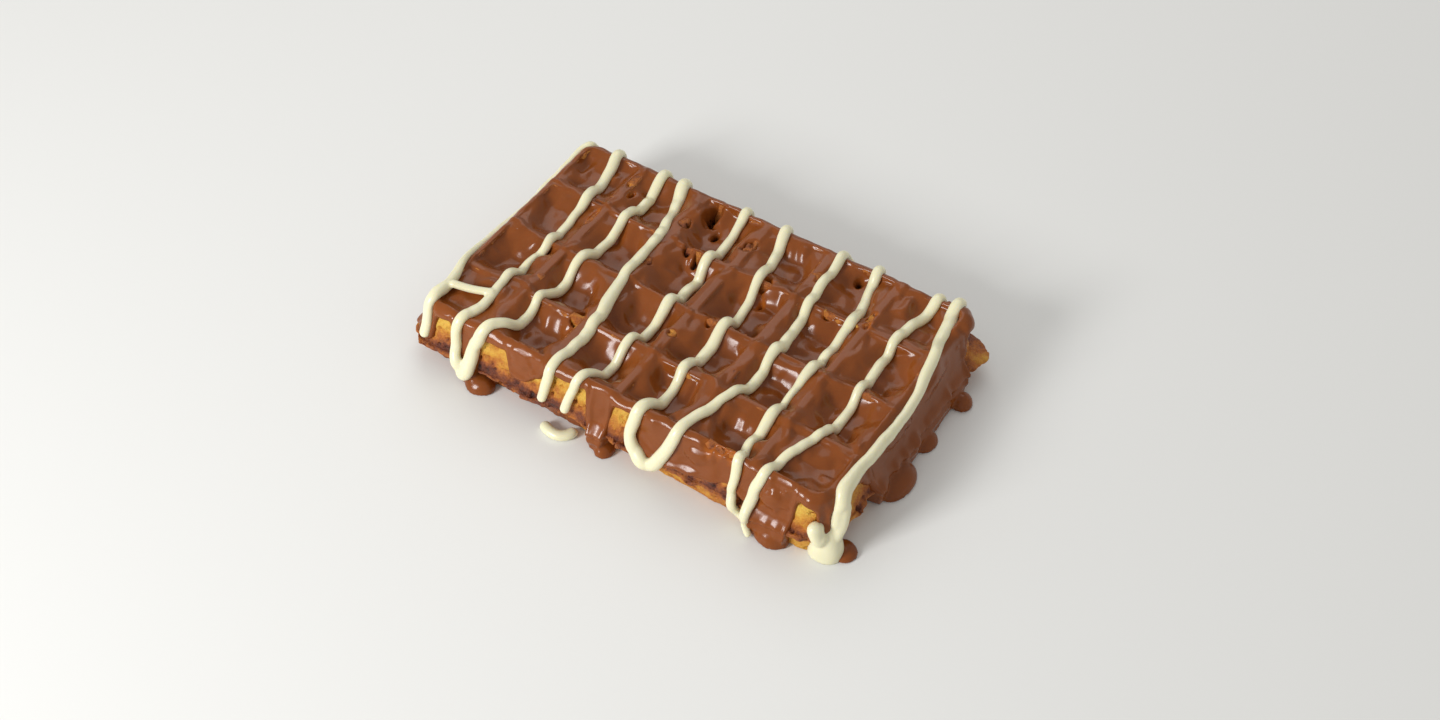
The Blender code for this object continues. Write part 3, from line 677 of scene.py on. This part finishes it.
drizzle = {
    "radius": 2.1,
    "flatness": 0.85,
    "lift": 0.75,
    "least": 0.7,              # thickness of sauce that it always lies on
    "step": 0.7,
    "sides": 16,
    "foot": 0.06,
    "voxel": 0.45,
    "evenRounds": 4,
    "evenRoute": 10,           # how often route, directions and laid line are evened out
    "evenNormal": 8,
    "evenMiddle": 4,
    "evenLoose": 8,
    "aside": 0.6,              # how far aside the slope of the sauce is taken
    "floorShare": 0.8,
    "tip": (0.15, 0.02),       # where the rounded ends begin, and their least size
    "turnSteps": 10,
    "turnFullness": 0.6,
    "uneven": ((0.11, 22.0, 61), (0.09, 8.0, 62)),
    # where each of the ten passes crosses the back rim, the three ridges, the front row and the front rim
    "crossings": (51, 23.5, -3.5, -29, -46, -53),
    "passes": (
        (-83.5, -88.5, -88, -82, -80.2, -81.5), (-68.5, -64.7, -63.3, -64.4, -63.3, -65.8),
        (-47, -46.9, -47.5, -48.9, -50, -55.3), (-38, -30.2, -28.4, -24.6, -24.2, -24.8),
        (-9.5, -8, -8, -8.9, -11, -13.3), (8.5, 13.4, 15.4, 14.5, 14.6, 12),
        (33, 35, 37, 35.5, 30.5, 28.8), (48.5, 53, 52.6, 52, 51.6, 53),
        (74, 70.3, 71.4, 70.6, 64.4, 63.3), (81.5, 85.8, 89, 88, 88, 90),
    ),
    "passSteps": 12,
    "lastShare": 0.92,         # where the last pass ends and the tail begins
    "backTurns": (9, 8, 9, 7, 9),      # how far past the edge each turn reaches
    # the turns on the front side; the second has parted, and its lowest part lies on the floor
    "frontTurns": (
        (((-67, -58), (-66.3, -66), (-63, -71.5), (-60.6, -74), (-59.6, -69.5), (-58.9, -62.5), (-57, -57)),),
        (((-25.8, -58), (-26.6, -63), (-27.1, -68)), ((-17, -67.5), (-16.3, -62), (-15, -57))),
        ((
            (11, -57), (10.8, -62.8), (13.2, -66.5), (17, -69.5), (20.4, -71), (23.5, -67.5), (26, -61.5),
            (28, -56),
        ),),
        ((
            (53.2, -57), (53, -66), (54.8, -70.5), (58.3, -73.6), (61, -75), (61.4, -70.5), (60.8, -65.5),
            (61.8, -57.5),
        ),),
    ),
    "blobs": ((88.6, -52.6, 12.5, 12, 13), (-19.5, -61.8, 9, 5, 2)),
    "start": ((-84.2, -66.5), (-84.2, -62), (-83.4, -58)),
    "tail": ((88, -45.5), (91, -47), (95, -49.3), (98.5, -52), (101, -55.5)),
    # strands that don't lie on the sauce, and white pools on the floor: their middle line, then the radius
    "loose": (
        ((
            (-79, -42.8, 28.4), (-75.5, -41.8, 27.8), (-71, -40.4, 27.3), (-66.5, -38.6, 27.2),
            (-62.5, -37, 27.4),
        ), 1.65),
        ((
            (-25.5, -60.5, 1.3), (-22, -62.3, 1.2), (-17, -62.6, 1.2), (-13.6, -59.5, 1.3), (-14, -56.5, 1.3),
        ), 2.2),
        (((85.2, -56.2, 17.2), (86.2, -56.6, 12.5), (88, -55.4, 7)), 3.3),
        (((87.4, -56.2, 11.2), (89.8, -54.9, 10.6)), 3.0),
        ((
            (90, -45.8, 22.5), (90.9, -47.5, 18.5), (91.4, -49.5, 13.5), (90.8, -51.5, 9), (89.4, -53, 5),
        ), 3.0),
        (((60, -60.6, 5.5), (62, -61.8, 2.6), (64, -62.9, 1.2)), 1.4),
    ),
    # places where the strands are thicker or thinner: x, y, by how much, over what length
    "swells": (
        (-81, -52, 1.3, 9), (-81, -30, 0.85, 6), (-61, -12, 0.72, 9), (-28, -20, 1.22, 8), (54, -20, 0.74, 8),
        (-47, 40, 1.1, 10), (-37, 48, 1.2, 8), (90, 20, 1.15, 12), (94, -20, 1.15, 14), (12, -55, 1.2, 9),
        (-60, 30, 1.1, 8), (36, 5, 1.08, 10), (-64, -31, 0.85, 5), (-60.5, -60, 1.4, 4.5), (20, -60, 1.3, 6),
        (56, -60, 0.85, 6), (90.5, -47, 1.35, 8), (88, 44, 1.35, 13),
    ),
}


def passPlace(crossings, share):
    # a smooth line through the crossings
    places = np.array(drizzle["crossings"], float)
    values = np.array(crossings, float)
    y = block["width"] * (0.5 - share) + block["middleY"]
    slopes = np.gradient(values, places)
    index = int(np.clip(np.searchsorted(-places, -y) - 1, 0, len(places) - 2))
    span = places[index + 1] - places[index]
    t = (y - places[index]) / span
    x = (
        (2 * t ** 3 - 3 * t ** 2 + 1) * values[index] + (t ** 3 - 2 * t ** 2 + t) * span * slopes[index]
        + (3 * t ** 2 - 2 * t ** 3) * values[index + 1] + (t ** 3 - t ** 2) * span * slopes[index + 1]
    )
    return (float(x), float(y))


def zigzagRoutes():
    shares = [step / drizzle["passSteps"] for step in range(drizzle["passSteps"] + 1)]
    routes = []
    route = list(drizzle["start"])
    for number, crossings in enumerate(drizzle["passes"]):
        order = shares[::-1] if number % 2 == 0 else shares
        if number == len(drizzle["passes"]) - 1:
            order = [share for share in order if share < drizzle["lastShare"]]
        leg = [passPlace(crossings, share) for share in order]
        if number % 2:
            depth = drizzle["backTurns"][number // 2]
            start, end = np.array(route[-1]), np.array(leg[0])
            for step in range(1, drizzle["turnSteps"]):
                angle = math.pi * step / drizzle["turnSteps"]
                share = (1 - math.cos(angle)) / 2
                outward = depth * math.sin(angle) ** drizzle["turnFullness"]
                route.append(tuple(start + (end - start) * share + np.array([0, outward])))
        elif number:
            turn = drizzle["frontTurns"][number // 2 - 1]
            route += turn[0]
            if len(turn) > 1:
                routes.append(route)
                route = list(turn[1])
        route += leg
    return routes + [route + list(drizzle["tail"])]


def evenSteps(points, step):
    points = np.array(points, float)
    lengths = np.concatenate([[0], np.cumsum(np.linalg.norm(np.diff(points, axis=0), axis=1))])
    count = max(int(lengths[-1] / step), 2)
    places = np.linspace(0, lengths[-1], count)
    return np.stack([np.interp(places, lengths, points[:, axis]) for axis in range(points.shape[1])], 1)


def evened(points, rounds):
    points = points.copy()
    for _ in range(rounds):
        points[1:-1] = points[1:-1] * 0.5 + (points[:-2] + points[2:]) * 0.25
    return points


def laidStrand(route):
    # the route laid on the sauce, with the direction that faces away from it
    flat = evened(evenSteps(route, drizzle["step"]), drizzle["evenRoute"])
    a, b = flat[:, 0], flat[:, 1]
    least, aside = drizzle["least"], drizzle["aside"]
    here = saucePoint(a, b, least)
    alongA = saucePoint(a + aside, b, least) - saucePoint(a - aside, b, least)
    alongB = saucePoint(a, b + aside, least) - saucePoint(a, b - aside, least)
    normal = np.cross(alongA, alongB)
    normal /= np.maximum(np.linalg.norm(normal, axis=1), 1e-9)[:, None]
    normal = evened(normal, drizzle["evenNormal"])
    normal /= np.linalg.norm(normal, axis=1)[:, None]
    middle = evened(here, drizzle["evenMiddle"]) + normal * drizzle["lift"]
    past = np.abs(b - block["middleY"]) - (coreY + sheetReach)
    middle[:, 1] += np.where(past > 0, np.sign(b) * past, 0)
    middle[:, 2] = np.maximum(middle[:, 2], drizzle["radius"] * drizzle["floorShare"])
    return middle, normal


def addTube(points, faces, middle, normal, radius):
    # rings round the route, with rounded ends
    count, sides = len(middle), drizzle["sides"]
    along = np.gradient(middle, axis=0)
    along /= np.maximum(np.linalg.norm(along, axis=1), 1e-9)[:, None]
    across = np.cross(along, normal)
    across /= np.maximum(np.linalg.norm(across, axis=1), 1e-9)[:, None]
    up = np.cross(across, along)
    lengths = np.concatenate([[0], np.cumsum(np.linalg.norm(np.diff(middle, axis=0), axis=1))])
    fromEnd = np.minimum(lengths, lengths[-1] - lengths)
    tipStart, leastTip = drizzle["tip"]
    shrink = np.sqrt(np.clip(1 - (1 - np.clip((fromEnd + tipStart) / radius, 0, 1)) ** 2, leastTip, 1))
    size = radius * shrink
    angles = np.arange(sides) * 2 * math.pi / sides
    ring = (
        across[:, None, :] * np.cos(angles)[None, :, None]
        + up[:, None, :] * np.sin(angles)[None, :, None] * drizzle["flatness"]
    )
    place = middle[:, None, :] + ring * size[:, None, None]
    start = sum(len(p) for p in points)
    points.append(np.concatenate([place.reshape(-1, 3), middle[:1], middle[-1:]]))
    index = np.arange(count * sides).reshape(count, sides) + start
    here, after = index[:-1], index[1:]
    quads = np.stack([here, np.roll(here, -1, 1), np.roll(after, -1, 1), after], -1).reshape(-1, 4)
    faces.append(np.concatenate([quads[:, [0, 1, 2]], quads[:, [0, 2, 3]]]))
    firstCap, lastCap = start + count * sides, start + count * sides + 1
    faces.append(np.stack([np.roll(index[0], -1), index[0], np.full(sides, firstCap)], 1))
    faces.append(np.stack([index[-1], np.roll(index[-1], -1), np.full(sides, lastCap)], 1))


def makeDrizzle():
    points, faces = [], []
    for route in zigzagRoutes():
        middle, normal = laidStrand(route)
        along = np.arange(len(middle)) * drizzle["step"]
        radius = drizzle["radius"] * (1 + sumOfBumps(pairs(along, along * 0), drizzle["uneven"]))
        for x, y, factor, long in drizzle["swells"]:
            away = ((middle[:, 0] - x) ** 2 + (middle[:, 1] - y) ** 2) / long ** 2
            radius = radius * (1 + (factor - 1) * np.exp(-away))
        addTube(points, faces, middle, normal, radius)
    for route, radius in drizzle["loose"]:
        middle = evened(evenSteps(route, drizzle["step"]), drizzle["evenLoose"])
        radius = np.full(len(middle), radius)
        addTube(points, faces, middle, np.tile((0.0, 0.0, 1.0), (len(middle), 1)), radius)
    addPuddles(points, faces, drizzle["blobs"])
    made = makeObject("white_chocolate_drizzle", np.concatenate(points), np.concatenate(faces))
    meltTogether(made, drizzle["voxel"], drizzle["evenRounds"])
    places = pointsOf(made)
    places[:, 2] = np.maximum(places[:, 2], drizzle["foot"])
    movePoints(made, places)
    lighten(made)
    return made


drizzleBody = makeDrizzle()
print("drizzle made:", len(drizzleBody.data.vertices), "points")


finishes = {
    "chocolateBrown": (0.220, 0.058, 0.0105),
    "chocolateThin": (0.36, 0.095, 0.011),
    # painted shade inside the holes
    "chocolateHoleShade": (0.030, 0.008, 0.003),
    "chocolateRoughness": 0.19,
    "chocolateShine": 0.27,
    "chocolateCloud": (60.0, 0.90, 1.08),      # how fine, how dark and how light
    "chocolateGrain": (420.0, 2.0, 0.5, 0.12, 0.0002),      # noise, then strength and depth of the bump
    "chocolateDepth": (0.12, (0.0012, 0.0005, 0.0002)),      # how much light goes in, and how far in metres
    "whiteChocolate": (0.80, 0.76, 0.52),
    "whiteRoughness": 0.30,
    "whiteShine": 0.5,
    "whiteCloud": (90.0, 0.95, 1.0),
    "whiteGrain": (500.0, 2.0, 0.5, 0.10, 0.0002),
    "whiteDepth": (0.25, (0.0020, 0.0016, 0.0008)),
    "batterPale": (0.70, 0.43, 0.058),
    "batterGold": (0.60, 0.27, 0.024),
    "crustOrange": (0.42, 0.120, 0.010),
    "crustBrown": (0.15, 0.030, 0.008),
    "crustBurnt": (0.045, 0.012, 0.006),
    "crustRoughness": 0.55,
    "crustShine": 0.5,
    "crustSpeckles": (700.0, 4.0, 0.6),
    "crustGrain": (1100.0, 4.0, 0.6, 1.0, 0.0009),
    "crustDepth": (0.10, (0.0020, 0.0010, 0.0004)),
    "crustSpeckle": 0.56,      # how far the speckles shift the browning, from end to end
}


def newMaterial(name):
    material = bpy.data.materials.new(name)
    material.use_nodes = True
    nodes, links = material.node_tree.nodes, material.node_tree.links
    return material, nodes, links, nodes["Principled BSDF"]


def setSurface(shader, kind):
    shader.inputs["Roughness"].default_value = finishes[kind + "Roughness"]
    shader.inputs["Specular IOR Level"].default_value = finishes[kind + "Shine"]
    shader.inputs["Subsurface Weight"].default_value, radius = finishes[kind + "Depth"]
    shader.inputs["Subsurface Radius"].default_value = radius
    shader.inputs["Subsurface Scale"].default_value = 1.0


def addNoise(nodes, links, scale, detail=2.0, roughness=0.5):
    place = nodes.new("ShaderNodeTexCoord")
    noise = nodes.new("ShaderNodeTexNoise")
    noise.inputs["Scale"].default_value = scale
    noise.inputs["Detail"].default_value = detail
    noise.inputs["Roughness"].default_value = roughness
    links.new(place.outputs["Object"], noise.inputs["Vector"])
    return noise


def addRamp(nodes, stops):
    ramp = nodes.new("ShaderNodeValToRGB")
    while len(ramp.color_ramp.elements) < len(stops):
        ramp.color_ramp.elements.new(0.5)
    for element, (place, colour) in zip(ramp.color_ramp.elements, stops):
        element.position = place
        element.color = (*colour, 1.0)
    return ramp


def addCloud(nodes, links, colour, cloud):
    # the colour, a little darker and lighter in clouds
    scale, dark, light = cloud
    noise = addNoise(nodes, links, scale, 3.0)
    shade = addRamp(nodes, (
        (0.30, tuple(value * dark for value in colour)), (0.70, tuple(value * light for value in colour)),
    ))
    links.new(noise.outputs["Fac"], shade.inputs["Fac"])
    return shade.outputs["Color"]


def addGrain(nodes, links, shader, grain):
    scale, detail, roughness, strength, depth = grain
    noise = addNoise(nodes, links, scale, detail, roughness)
    bump = nodes.new("ShaderNodeBump")
    bump.inputs["Strength"].default_value = strength
    bump.inputs["Distance"].default_value = depth
    links.new(noise.outputs["Fac"], bump.inputs["Height"])
    links.new(bump.outputs["Normal"], shader.inputs["Normal"])


def makeMilkChocolate():
    material, nodes, links, shader = newMaterial("milkChocolate")
    setSurface(shader, "chocolate")
    colour = addCloud(nodes, links, finishes["chocolateBrown"], finishes["chocolateCloud"])
    # the crust's colour where the sauce is thin, and painted shade inside the holes
    for name, other in (("thin", "chocolateThin"), ("deep", "chocolateHoleShade")):
        share = nodes.new("ShaderNodeAttribute")
        share.attribute_name = name
        mix = nodes.new("ShaderNodeMix")
        mix.data_type = "RGBA"
        links.new(share.outputs["Fac"], mix.inputs["Factor"])
        links.new(colour, mix.inputs["A"])
        mix.inputs["B"].default_value = (*finishes[other], 1.0)
        colour = mix.outputs["Result"]
    links.new(colour, shader.inputs["Base Color"])
    addGrain(nodes, links, shader, finishes["chocolateGrain"])
    return material


def makeWhiteChocolate():
    material, nodes, links, shader = newMaterial("whiteChocolate")
    setSurface(shader, "white")
    colour = addCloud(nodes, links, finishes["whiteChocolate"], finishes["whiteCloud"])
    links.new(colour, shader.inputs["Base Color"])
    addGrain(nodes, links, shader, finishes["whiteGrain"])
    return material


def makeBakedCrust():
    material, nodes, links, shader = newMaterial("bakedCrust")
    setSurface(shader, "crust")
    bakedAndShade = nodes.new("ShaderNodeAttribute")
    bakedAndShade.attribute_name = "bakedAndShade"
    speckle = addNoise(nodes, links, *finishes["crustSpeckles"])
    shift = nodes.new("ShaderNodeMath")
    shift.operation = "MULTIPLY_ADD"
    shift.inputs[1].default_value = finishes["crustSpeckle"]
    shift.inputs[2].default_value = -finishes["crustSpeckle"] / 2
    links.new(speckle.outputs["Fac"], shift.inputs[0])
    total = nodes.new("ShaderNodeMath")
    total.operation = "ADD"
    total.use_clamp = True
    links.new(bakedAndShade.outputs["Fac"], total.inputs[0])
    links.new(shift.outputs["Value"], total.inputs[1])
    shade = addRamp(nodes, (
        (0.00, finishes["batterPale"]), (0.28, finishes["batterGold"]), (0.52, finishes["crustOrange"]),
        (0.80, finishes["crustBrown"]), (1.00, finishes["crustBurnt"]),
    ))
    links.new(total.outputs["Value"], shade.inputs["Fac"])
    links.new(shade.outputs["Color"], shader.inputs["Base Color"])
    addGrain(nodes, links, shader, finishes["crustGrain"])
    return material


for made, material, node, slot in (
    (waffleBody, makeBakedCrust(), "waffle", "waffle_crust"),
    (sauceBody, makeMilkChocolate(), "chocolate_sauce", "milk_chocolate"),
    (drizzleBody, makeWhiteChocolate(), "chocolate_sauce", "white_chocolate"),
):
    made.data.materials.clear()
    made.data.materials.append(material)
    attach(made, "root")
    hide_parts(node)
print("finishes set")


studio = {
    "floorColour": (0.80, 0.80, 0.78),
    "domeColour": (1.0, 0.99, 0.97),
    "domeStrength": 0.51,
    "keyFrom": (-0.40, -0.96, 0.51),
    "keySize": 0.34,
    "keyPower": 10.4,
    "floorSize": 3.0,
    "floorDrop": 0.0001,
    "floorRoughness": 0.6,
    "topFrom": (-0.45, 0.75, 0.95),
    "topSize": 0.9,
    "topPower": 3.5,
}

floorMesh = bmesh.new()
bmesh.ops.create_grid(floorMesh, x_segments=1, y_segments=1, size=studio["floorSize"])
floorData = bpy.data.meshes.new("floor")
floorMesh.to_mesh(floorData)
floorMesh.free()
floor = bpy.data.objects.new("floor", floorData)
floor.location.z = -studio["floorDrop"]
bpy.context.scene.collection.objects.link(floor)
floorMaterial, _, _, floorShader = newMaterial("paleFloor")
floorShader.inputs["Base Color"].default_value = (*studio["floorColour"], 1.0)
floorShader.inputs["Roughness"].default_value = studio["floorRoughness"]
floorData.materials.append(floorMaterial)


def addSoftbox(name, place, size, power):
    light = bpy.data.lights.new(name, "AREA")
    light.shape = "SQUARE"
    light.size = size
    light.energy = power
    lamp = bpy.data.objects.new(name, light)
    bpy.context.scene.collection.objects.link(lamp)
    lamp.location = place
    lamp.rotation_euler = Vector(place).to_track_quat("Z", "Y").to_euler()


addSoftbox("keyLight", studio["keyFrom"], studio["keySize"], studio["keyPower"])
addSoftbox("topLight", studio["topFrom"], studio["topSize"], studio["topPower"])

world = bpy.data.worlds.new("studio")
world.use_nodes = True
world.node_tree.nodes["Background"].inputs["Color"].default_value = (*studio["domeColour"], 1.0)
world.node_tree.nodes["Background"].inputs["Strength"].default_value = studio["domeStrength"]
bpy.context.scene.world = world
bpy.context.scene.view_settings.view_transform = "Standard"

camera = {
    "place": (0.25186, -0.39765, 0.51576),
    "azimuth": 31.107,
    "elevation": 47.867,
    "roll": 1.949,
    "lens": 46.37,
    "sensor": 36.0,
}
azimuth, elevation, roll = (math.radians(camera[key]) for key in ("azimuth", "elevation", "roll"))
back = Vector((
    math.sin(azimuth) * math.cos(elevation), -math.cos(azimuth) * math.cos(elevation), math.sin(elevation)
))
level = Vector((0, 0, 1)).cross(back).normalized()
upright = back.cross(level)
right = level * math.cos(roll) + upright * math.sin(roll)
up = upright * math.cos(roll) - level * math.sin(roll)
cameraData = bpy.data.cameras.new("camera")
cameraData.lens = camera["lens"]
cameraData.sensor_width = camera["sensor"]
cameraObject = bpy.data.objects.new("camera", cameraData)
bpy.context.scene.collection.objects.link(cameraObject)
turned = Matrix((right, up, back)).transposed().to_4x4()
turned.translation = Vector(camera["place"])
cameraObject.matrix_world = turned
bpy.context.scene.camera = cameraObject
print("studio set")
